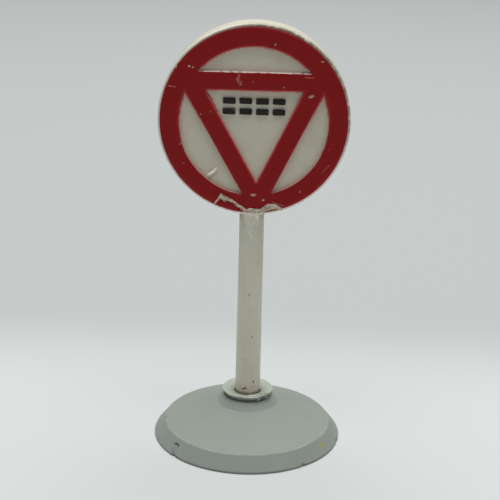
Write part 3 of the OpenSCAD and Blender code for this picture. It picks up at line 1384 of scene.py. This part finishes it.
            shift += inward * (lift * torn * (0.2 + 0.5 * crag))
            shift += Vector((0, 0, -lift * torn * (0.2 + 0.45 * crag)))
        return shift

    def torn(self, graph: Graph) -> Signal:
        """Where the lip is torn: 1 there and 0 elsewhere."""
        turn = math.radians(self.tear_angle)
        along = graph.x * math.cos(turn) + graph.y * math.sin(turn)
        beside = (graph.y * math.cos(turn) - graph.x * math.sin(turn)).size()
        above = graph.z.ramp(self.neck_z + 0.1, self.neck_z + 0.35)
        return along.ramp(2.55, 2.9) * beside.ramp(1.15, 0.7) * above

    def settled(self, place: Vector) -> Vector:
        """The wear of a point, kept inside the foot's own box."""
        after = place + self.worn(place)
        after.z = min(max(after.z, 0.0), self.lip_z)
        reach = math.hypot(after.x, after.y)
        if reach > self.foot_r:
            after.x, after.y = after.x * self.foot_r / reach, after.y * self.foot_r / reach
        return after - place

    def build(self, material: bpy.types.Material) -> bpy.types.Object:
        """Builds the foot.

        Args:
            material: Its finish.

        Returns:
            The piece.
        """
        shape = spun(rounded_line(self.section(), self.coarse, 4), self.turn_steps)
        moved(shape, self.settled)
        bmesh.ops.recalc_face_normals(shape, faces=shape.faces)
        return finished(shape, "foot_shell", material, Body.BASE, ("foot",), 45.0)

    def strand(self, draw: random.Random) -> bmesh.types.BMesh:
        """One strand of plastic torn up from the lip's edge.

        Args:
            draw: The source of its random sizes.

        Returns:
            Its shape.
        """
        turn = self.tear_angle + draw.uniform(-16, 16)
        start = draw.uniform(2.6, 3.1)
        run = draw.uniform(0.5, 1.0)
        swing = draw.uniform(-14, 14)
        top = self.lip_z - draw.uniform(0.07, 0.15)
        points, widths, heights = [], [], []
        for step in range(6):
            share = step / 5
            angle = math.radians(turn + swing * share)
            reach = start + run * share
            sag = 0.62 * max(0.0, share - 0.25) ** 1.4 * draw.uniform(0.85, 1.15)
            points.append((reach * math.cos(angle), reach * math.sin(angle), top - sag))
            widths.append(0.12 * (1 - 0.6 * share))
            heights.append(0.07 * (1 - 0.5 * share))
        return ribbon(points, widths, heights, Vector((0, 0, 1)), 6, 0.05)

    def build_fibres(self, material: bpy.types.Material) -> bpy.types.Object:
        """Builds the strands of plastic torn up from the lip's edge.

        Args:
            material: Their finish.

        Returns:
            The piece.
        """
        draw = random.Random(7)
        shape = joined(self.strand(draw) for _ in range(self.strands))
        return finished(shape, "lip_fibres", material, Body.BASE, (), 60.0)


@dataclass
class Post:
    """The cream post: a journal in the socket, a slight draft above it, mould seams and the smeared neck.

    Attributes:
        seat_z: Height of its lower end, from the frame.
        tenon_z: Height of its tenon's end, from the frame.
        plate_foot_z: Height of the plate's lower edge, from the frame.
        lip_z: Height of the foot's lip, from the frame.
        radius: Its radius in the socket.
        top_radius: Its radius under the plate.
        tenon_r: Radius of the tenon.
        shoulder_in: How far its shoulder stands inside the plate's lower edge.
        seam_h: Height of its two mould seams.
        web_l: Length of the smeared neck.
        web_turn: Half the angle that the smear spans at its top, in radians.
        marks: The small marks on it.
    """

    seat_z: float
    tenon_z: float
    plate_foot_z: float
    lip_z: float
    radius: float = 1.68
    top_radius: float = 1.6
    tenon_r: float = 0.9
    shoulder_in: float = 0.45
    seam_h: float = 0.03
    web_l: float = 4.2
    web_turn: float = 1.05
    marks: tuple[Mark, ...] = (
        Mark((0.72, -1.45, 30.95), 0.24, Tint.WHITE, 1.0),
        Mark((-0.06, -1.64, 20.5), 0.11, Tint.DIRT, 0.75),
        Mark((-0.12, -1.64, 20.3), 0.1, Tint.DIRT, 0.7),
        Mark((0.5, -1.58, 14.5), 0.14, Tint.DIRT, 0.6),
        Mark((0.8, -1.48, 7.9), 0.11, Tint.INK, 0.95),
        Mark((0.8, -1.48, 8.1), 0.11, Tint.INK, 0.95),
        Mark((-0.5, -1.62, 6.98), 0.17, Tint.RED, 1.0),
        Mark((-0.25, -1.66, 7.14), 0.13, Tint.RED, 1.0),
        Mark((-0.8, -1.48, 6.9), 0.14, Tint.RED, 0.6),
        Mark((-0.6, -1.55, 11.2), 0.1, Tint.DIRT, 0.5),
        Mark((0.2, -1.66, 24.6), 0.08, Tint.DIRT, 0.5),
    )

    def uneven(self, place: Vector) -> Vector:
        """How far a point of the post lies off a true cylinder, always inward."""
        reach = math.hypot(place.x, place.y)
        if reach < 1.0 or place.z < self.lip_z - 0.3:
            return Vector((0, 0, 0))
        outward = Vector((place.x, place.y, 0)) / reach
        turn = math.atan2(place.y, place.x)
        asides = (math.remainder(turn - side, math.tau) for side in (0.0, math.pi))
        seam = sum(math.exp(-((aside / 0.06) ** 2)) for aside in asides)
        wave = noise.noise(Vector((math.cos(turn), math.sin(turn), place.z * 0.12)) * 1.4)
        share = 1 - (self.plate_foot_z - place.z) / self.web_l
        web = 0.0
        if share > 0.0:
            aside = abs(math.remainder(turn + math.pi / 2, math.tau))
            ragged = 0.2 * noise.noise(Vector((turn * 3.0, place.z * 1.6, 2.0)))
            inside = max(0.0, min(1.0, (self.web_turn * share + ragged - aside) / 0.2))
            lumps = noise.noise(Vector((turn * 2.5, place.z * 2.2, 5.0)))
            web = inside * (0.02 + 0.07 * share + 0.05 * lumps)
        return outward * (self.seam_h * (seam - 1) + 0.012 * (wave - 1) + web)

    def build(self, material: bpy.types.Material) -> bpy.types.Object:
        """Builds the post.

        Args:
            material: Its finish.

        Returns:
            The piece.
        """
        shoulder = self.plate_foot_z + self.shoulder_in
        outline = [
            Corner(0.0, self.seat_z),
            Corner(self.radius, self.seat_z, 0.15),
            Corner(self.radius, self.lip_z),
            Corner(self.top_radius, self.plate_foot_z - self.web_l),
            Corner(self.top_radius, shoulder, 0.08, 0.12),
            Corner(self.tenon_r, shoulder, 0.05),
            Corner(self.tenon_r, self.tenon_z, 0.12),
            Corner(0.0, self.tenon_z),
        ]
        shape = spun(rounded_line(outline, 0.4, 3), 160)
        moved(shape, self.uneven)
        return finished(shape, "post_turned", material, Body.SIGN, ("post",))


@dataclass
class Plate:
    """The white plate, its edge softened, and the curl of plastic cut up from its face.

    Attributes:
        layout: The lines on its face.
        back_y: The plate's back, from the frame.
        edge_soft: Radius of its rear edge.
        back_rim_w: Width of the raised rim on its back.
        back_rim_h: Height of that rim.
    """

    layout: FaceLayout
    back_y: float
    edge_soft: float = 0.3
    back_rim_w: float = 0.8
    back_rim_h: float = 0.12

    def build(self, material: bpy.types.Material) -> bpy.types.Object:
        """Builds the plate.

        Args:
            material: Its finish.

        Returns:
            The piece.
        """
        radius = self.layout.plate_r
        inner = radius - self.back_rim_w
        outline = [
            Corner(0.0, -self.layout.front_y),
            Corner(radius, -self.layout.front_y, 0.12),
            Corner(radius, -self.back_y, self.edge_soft),
            Corner(inner, -self.back_y, 0.06),
            Corner(inner - 0.1, -self.back_y + self.back_rim_h, 0.06),
            Corner(0.0, -self.back_y + self.back_rim_h),
        ]
        shape = spun(rounded_line(outline, 0.6, 5), 288)
        faced(shape, 0, self.layout.centre_z)

        def dished(place: Vector) -> Vector:
            """Shallow hollows that moulding left in the broad faces, and a slightly wavy edge."""
            up = place.z - self.layout.centre_z
            reach = math.hypot(place.x, up)
            sink = 0.05 * noise.noise(Vector((place.x, 0, up)) * 0.22) - 0.03
            side = 1 if place.y < 0 else -1
            inside = max(0.0, min(1.0, (radius - 0.6 - reach) / 1.5))
            wave = 0.02 * (noise.noise(place * 0.5) - 1)
            edge = max(0.0, min(1.0, (reach - radius + 0.5) / 0.5))
            out = Vector((place.x, 0, up)).normalized() if reach > 1e-6 else Vector((0, 0, 0))
            return Vector((0, -side * sink * inside, 0)) + out * (wave * edge)

        moved(shape, dished)
        bmesh.ops.recalc_face_normals(shape, faces=shape.faces)
        return finished(shape, "plate_disc", material, Body.SIGN, ("sign_plate",))

    def build_curl(self, material: bpy.types.Material) -> bpy.types.Object:
        """Builds the sliver of plastic that a knife turned up near the ring.

        Args:
            material: Its finish.

        Returns:
            The piece.
        """
        face, centre = self.layout.front_y, self.layout.marks_z
        points = [
            (-5.72, face - 0.02, centre - 7.42), (-5.52, face - 0.14, centre - 7.16),
            (-5.3, face - 0.26, centre - 6.98), (-5.05, face - 0.3, centre - 6.84),
            (-4.82, face - 0.24, centre - 6.64), (-4.62, face - 0.14, centre - 6.4),
            (-4.45, face - 0.02, centre - 6.18),
        ]
        widths = [0.05, 0.13, 0.18, 0.2, 0.17, 0.12, 0.05]
        heights = [0.03, 0.08, 0.12, 0.13, 0.11, 0.08, 0.03]
        shape = ribbon(points, widths, heights, Vector((0, 1, 0)), 10, 0.04)
        return finished(shape, "plate_curl", material, Body.SIGN, (), 60.0)


@dataclass
class Border:
    """The raised red border: a ring and a point-down triangle in one relief, drafted and softened.

    Attributes:
        layout: The lines that it follows.
        rise: Height above the plate, from the frame.
        draft: How far its walls lean in.
        soft: Radius of its upper edges.
        sink: How far its foot goes into the plate.
        arc_step: Degrees between the points of its arcs.
        corner_r: How far its corners are rounded.
    """

    layout: FaceLayout
    rise: float
    draft: float = 0.07
    soft: float = 0.09
    sink: float = 0.04
    arc_step: float = 2.2
    corner_r: float = 0.22

    def arc(self, radius: float, start: float, end: float) -> list[Vector]:
        """Points along an arc about the plate's centre.

        Args:
            radius: Its radius.
            start: Its first angle in degrees.
            end: Its last angle in degrees.

        Returns:
            The points, both ends among them.
        """
        pieces = max(2, math.ceil(abs(end - start) / self.arc_step))
        angles = [math.radians(start + (end - start) * piece / pieces) for piece in range(pieces + 1)]
        return [Vector((radius * math.cos(angle), radius * math.sin(angle))) for angle in angles]

    def softened(self, loop: Sequence[Vector]) -> list[Vector]:
        """Rounds the sharp corners of a closed outline."""
        points: list[Vector] = []
        count = len(loop)
        for index, here in enumerate(loop):
            before, after = loop[index - 1] - here, loop[(index + 1) % count] - here
            if before.angle(after) > math.radians(165):
                points.append(here)
                continue
            back = min(self.corner_r, before.length * 0.45, after.length * 0.45)
            start, end = here + before.normalized() * back, here + after.normalized() * back
            for step in range(5):
                share = step / 4
                points.append(start.lerp(here, share).lerp(here.lerp(end, share), share))
        return points

    def split(self, first: Vector, second: Vector, step: float = 0.45) -> list[Vector]:
        """Points along a straight side, without its ends."""
        pieces = max(1, math.ceil((second - first).length / step))
        return [first.lerp(second, piece / pieces) for piece in range(1, pieces)]

    def fields(self) -> list[list[Vector]]:
        """Outlines of the four white fields that the border leaves open."""
        layout = self.layout
        white = layout.white_corners()
        loops = [self.softened([point for first, second in zip(white, [*white[1:], white[0]])
                                for point in (first, *self.split(first, second))])]
        corners = layout.border_corners()
        for first, second in zip(corners, [*corners[1:], corners[0]]):
            run = (second - first).normalized()
            foot_point = first - run * first.dot(run)
            half = math.sqrt(layout.ring_inner_r ** 2 - foot_point.length_squared)
            start, end = foot_point - run * half, foot_point + run * half
            first_angle = math.degrees(math.atan2(end.y, end.x))
            middle = math.degrees(math.atan2(foot_point.y, foot_point.x))
            turn = math.degrees(math.remainder(math.radians(middle - first_angle), math.tau)) * 2
            last_angle = first_angle + turn
            arc = self.arc(layout.ring_inner_r, first_angle, last_angle)
            loops.append(self.softened([*self.split(start, end), *arc]))
        return loops

    def build(self, material: bpy.types.Material) -> bpy.types.Object:
        """Builds the relief, level by level from the plate's face to its own.

        Args:
            material: Its finish.

        Returns:
            The piece.
        """
        layout = self.layout
        outer = self.arc(layout.ring_r, 0.0, 360.0)[:-1]
        levels = [(0.0, -self.sink)]
        turn_steps = 4
        top = self.rise - self.soft
        levels.append((self.draft, top))
        for step in range(1, turn_steps + 1):
            angle = math.pi / 2 * step / turn_steps
            levels.append((self.draft + self.soft * (1 - math.cos(angle)), top + self.soft * math.sin(angle)))
        shape = bmesh.new()
        rims: list[bmesh.types.BMEdge] = []
        floors: list[bmesh.types.BMEdge] = []
        for loop, solid_inside in [(outer, True), *((field_loop, False) for field_loop in self.fields())]:
            count = len(loop)
            turning = sum(a.x * b.y - a.y * b.x for a, b in zip(loop, [*loop[1:], loop[0]]))
            to_inside = 1.0 if (turning > 0) == solid_inside else -1.0
            normals = []
            for index in range(count):
                run = (loop[(index + 1) % count] - loop[index - 1]).normalized()
                normals.append(Vector((-run.y, run.x)) * to_inside)
            verts = [shape.verts.new((p.x, p.y, levels[0][1])) for p in loop]
            ring = [shape.edges.new((verts[index], verts[(index + 1) % count])) for index in range(count)]
            floors.extend(ring)
            for inset, height in levels[1:]:
                made = bmesh.ops.extrude_edge_only(shape, edges=ring)["geom"]
                fresh = {item for item in made if isinstance(item, bmesh.types.BMVert)}
                partner = []
                for vert in verts:
                    others = (edge.other_vert(vert) for edge in vert.link_edges)
                    partner.append(next(other for other in others if other in fresh))
                ring = [item for item in made if isinstance(item, bmesh.types.BMEdge)
                        and all(vert in fresh for vert in item.verts)]
                verts = partner
                for vert, place, normal in zip(verts, loop, normals):
                    wobble = 0.035 * noise.noise(Vector((place.x, place.y, 1.0)) * 1.3)
                    spot = place + normal * (inset + wobble)
                    vert.co = (spot.x, spot.y, height)
            rims.extend(ring)
        bmesh.ops.triangle_fill(shape, use_beauty=True, use_dissolve=False, edges=rims)
        bmesh.ops.triangle_fill(shape, use_beauty=True, use_dissolve=False, edges=floors)
        bmesh.ops.recalc_face_normals(shape, faces=shape.faces)
        faced(shape, layout.front_y, layout.centre_z)
        return finished(shape, "border_relief", material, Body.SIGN, ("ring_border", "triangle_border"),
                        30.0)

    def build_tear(self, material: bpy.types.Material) -> bpy.types.Object:
        """Builds the ragged ridges of bare plastic where the plate's foot was torn and stuck again.

        Args:
            material: Their finish.

        Returns:
            The piece.
        """
        face = self.layout.front_y - self.rise
        centre = self.layout.marks_z
        runs = (
            ([(-4.75, 0.02, -10.85), (-4.4, -0.02, -10.45), (-4.05, -0.09, -10.02), (-3.88, -0.15, -9.82),
              (-3.55, -0.1, -10.02), (-3.2, -0.09, -10.02), (-2.7, -0.13, -10.32), (-2.25, -0.06, -10.5),
              (-1.8, -0.11, -10.93), (-1.35, -0.05, -11.15), (-0.95, -0.06, -11.55), (-0.5, 0.05, -11.85)],
             [0.03, 0.06, 0.1, 0.25, 0.22, 0.17, 0.12, 0.09, 0.16, 0.08, 0.13, 0.1], 0.08),
            ([(-0.9, 0.1, -11.75), (-0.35, -0.02, -11.62), (0.2, -0.05, -11.66), (0.75, -0.03, -11.7),
              (1.3, -0.07, -11.5), (1.8, -0.06, -11.2), (2.3, -0.03, -11.0), (2.9, -0.02, -10.98),
              (3.4, 0.0, -11.15), (3.85, 0.04, -11.4)],
             [0.1, 0.22, 0.26, 0.22, 0.2, 0.24, 0.26, 0.2, 0.14, 0.06], 0.08),
            ([(1.35, 0.0, -11.85), (1.6, -0.05, -11.78), (1.85, -0.04, -11.74), (2.1, 0.02, -11.72)],
             [0.05, 0.12, 0.12, 0.04], 0.07),
        )

        def torn(place: Vector) -> Vector:
            """The ragged surface of a ridge."""
            return noise.noise_vector(place * 3.6) * 0.12 + noise.noise_vector(place * 9.0) * 0.07

        def ridge(path: Sequence[Sequence[float]], widths: Sequence[float],
                  height: float) -> bmesh.types.BMesh:
            """One ridge along a path of X, Y from the border's face and height above the marks' line."""
            points = [(x, face + y, centre + z) for x, y, z in path]
            strip = ribbon(points, [width * 1.35 for width in widths], [height * 1.4] * len(points),
                           Vector((0, 1, 0)), 10, 0.11)
            bmesh.ops.subdivide_edges(strip, edges=list(strip.edges), cuts=3, smooth=0.4, use_grid_fill=True)
            moved(strip, torn)
            return strip

        shape = joined(ridge(*run) for run in runs)
        return finished(shape, "neck_tear", material, Body.SIGN, (), 60.0)


@dataclass
class LegendBars:
    """Two rows of plain raised bars, in the place of the legend.

    Attributes:
        low: Lowest corner of the bars' box, from the frame.
        high: Highest corner of the bars' box, from the frame.
        columns: Number of bars in a row.
        bar_w: Width of a bar.
        bar_h: Height of a bar.
        soft: Radius of its upright edges.
        front_soft: Radius of its front edges.
    """

    low: Vector
    high: Vector
    columns: int = 4
    bar_w: float = 1.55
    bar_h: float = 0.72
    soft: float = 0.13
    front_soft: float = 0.07

    def build(self, material: bpy.types.Material) -> bpy.types.Object:
        """Builds the bars.

        Args:
            material: Their finish.

        Returns:
            The piece.
        """
        shape = bmesh.new()
        pitch = (self.high.x - self.low.x - self.bar_w) / (self.columns - 1)
        depth = self.high.y - self.low.y
        for column in range(self.columns):
            for z in (self.low.z + self.bar_h / 2, self.high.z - self.bar_h / 2):
                x = self.low.x + self.bar_w / 2 + column * pitch
                place = Matrix.Translation((x, self.low.y + depth / 2, z))
                size = Matrix.Diagonal((self.bar_w, depth, self.bar_h, 1.0))
                bmesh.ops.create_cube(shape, size=1.0, matrix=place @ size)
        upright = [edge for edge in shape.edges if abs(edge.verts[0].co.y - edge.verts[1].co.y) > depth * 0.5]
        bmesh.ops.bevel(shape, geom=upright, offset=self.soft, offset_type="OFFSET", segments=4, profile=0.5,
                        affect="EDGES", material=-1)
        front = [edge for edge in shape.edges if all(vert.co.y < self.low.y + 1e-4 for vert in edge.verts)]
        bmesh.ops.bevel(shape, geom=front, offset=self.front_soft, offset_type="OFFSET", segments=3,
                        profile=0.5, affect="EDGES", material=-1)
        bmesh.ops.subdivide_edges(shape, edges=list(shape.edges), cuts=1, use_grid_fill=True)

        def dabbed(place: Vector) -> Vector:
            """A slightly uneven outline, held inside the bars' box."""
            shift = noise.noise_vector(place * 1.9) * 0.05
            shift.y = max(0.0, shift.y)
            after = place + shift
            after.x = min(max(after.x, self.low.x), self.high.x)
            after.z = min(max(after.z, self.low.z), self.high.z)
            return after - place

        moved(shape, dabbed)
        return finished(shape, "legend_marks", material, Body.SIGN, ("legend_bars",))


# --------------------------------------------------------------------------------------------------------------
# Studio
# --------------------------------------------------------------------------------------------------------------


@dataclass(frozen=True)
class Studio:
    """A plain pale floor, one broad soft light overhead, and the camera.

    Attributes:
        floor_half: Half the floor's width.
        light_size: Width of the overhead light.
        light_height: Its height above the floor.
        light_power: Its power in watts.
        fill: Brightness of the surroundings.
        lens: Focal length of the camera.
        sensor: Width of its sensor.
        stand: Its place.
        pitch: How far it looks up, in degrees.
        pan: Its turn about the upright.
        roll: Its turn about its own axis.
        shift_y: How far the image is shifted.
    """

    floor_half: float = 1.6
    light_size: float = 0.9
    light_height: float = 0.75
    light_power: float = 9.0
    fill: float = 0.16
    lens: float = 90.33
    sensor: float = 36.0
    stand: tuple[float, float, float] = (3.152, -154.7, 77.97)
    pitch: float = -20.36
    pan: float = 1.166
    roll: float = 1.4
    shift_y: float = 0.08

    def build_floor(self) -> None:
        """Lays the floor, a little darker far behind the object as painted shade."""
        shape = bmesh.new()
        bmesh.ops.create_grid(shape, x_segments=8, y_segments=8, size=self.floor_half)
        mesh = bpy.data.meshes.new("floor")
        shape.to_mesh(mesh)
        shape.free()
        graph = Graph("floor_paper")
        grain = graph.noise(0.6, 4.0, 0.6)
        # Painted shade: the floor's colour darkens far behind the object
        depth = graph.y.ramp(10.0, 45.0)
        colour = graph.blend(depth, (0.60, 0.62, 0.625), (0.45, 0.475, 0.475))
        normal = graph.bump(grain, 0.02, 0.4)
        mesh.materials.append(graph.close(colour, 0.9, normal))
        floor = bpy.data.objects.new("floor", mesh)
        bpy.context.scene.collection.objects.link(floor)

    def build_lights(self) -> None:
        """Hangs the overhead light and sets the surroundings."""
        world = bpy.data.worlds.new("room")
        world.use_nodes = True
        background = world.node_tree.nodes["Background"]
        background.inputs["Color"].default_value = (0.94, 0.97, 1.0, 1.0)
        background.inputs["Strength"].default_value = self.fill
        bpy.context.scene.world = world
        lamp = bpy.data.lights.new("overhead", "AREA")
        lamp.shape = "SQUARE"
        lamp.size = self.light_size
        lamp.energy = self.light_power
        lamp.color = (1.0, 0.995, 0.98)
        holder = bpy.data.objects.new("overhead", lamp)
        holder.location = (0.02, 0.12, self.light_height)
        bpy.context.scene.collection.objects.link(holder)

    def build_camera(self) -> None:
        """Places the camera a little above and in front of the sign."""
        data = bpy.data.cameras.new("camera")
        data.lens = self.lens
        data.sensor_width = self.sensor
        data.shift_y = self.shift_y
        data.clip_start = 0.01
        data.clip_end = 10.0
        camera = bpy.data.objects.new("camera", data)
        camera.location = Vector(self.stand) * MM
        level = Euler((math.radians(90.0 + self.pitch), 0.0, math.radians(self.pan)), "XYZ").to_matrix()
        rolled = level @ Matrix.Rotation(math.radians(self.roll), 3, "Z")
        camera.rotation_euler = rolled.to_euler("XYZ")
        bpy.context.scene.collection.objects.link(camera)
        bpy.context.scene.camera = camera

    def build(self) -> None:
        """Builds the whole studio."""
        self.build_floor()
        self.build_lights()
        self.build_camera()
        bpy.context.scene.view_settings.view_transform = "Standard"


def box_mm(node: str) -> tuple[Vector, Vector]:
    """The lowest and highest corners of a CAD node in millimetres."""
    low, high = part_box(node)
    return low / MM, high / MM


def main() -> None:
    """Builds the sign, its finishes and the studio."""
    logging.basicConfig(level=logging.INFO, format="%(message)s")
    noise.seed_set(NOISE_SEED)
    foot_low, foot_high = box_mm("foot")
    post_low, post_high = box_mm("post")
    plate_low, plate_high = box_mm("sign_plate")
    ring_low, ring_high = box_mm("ring_border")
    bars_low, bars_high = box_mm("legend_bars")

    layout = FaceLayout(
        centre_z=(plate_low.z + plate_high.z) / 2,
        front_y=plate_low.y,
        plate_r=(plate_high.x - plate_low.x) / 2,
        ring_r=(ring_high.x - ring_low.x) / 2,
    )
    rise = plate_low.y - ring_low.y
    foot = Foot(foot_r=foot_high.x, lip_z=foot_high.z)
    post = Post(seat_z=post_low.z, tenon_z=post_high.z, plate_foot_z=plate_low.z, lip_z=foot_high.z)
    plate = Plate(layout, back_y=plate_high.y)
    border = Border(layout, rise)
    bars = LegendBars(bars_low, bars_high)

    grey = GreyPlastic().make(foot)
    white = PlatePlastic().make(layout)
    cream = PostPlastic().make(post)
    bare = BarePlastic().make()
    red = RedPaint().make(layout, rise)
    black = BlackPaint().make()

    foot.build(grey)
    foot.build_fibres(grey)
    post.build(cream)
    plate.build(white)
    plate.build_curl(white)
    border.build(red)
    border.build_tear(bare)
    bars.build(black)
    Studio().build()


if __name__ == "__main__":
    main()
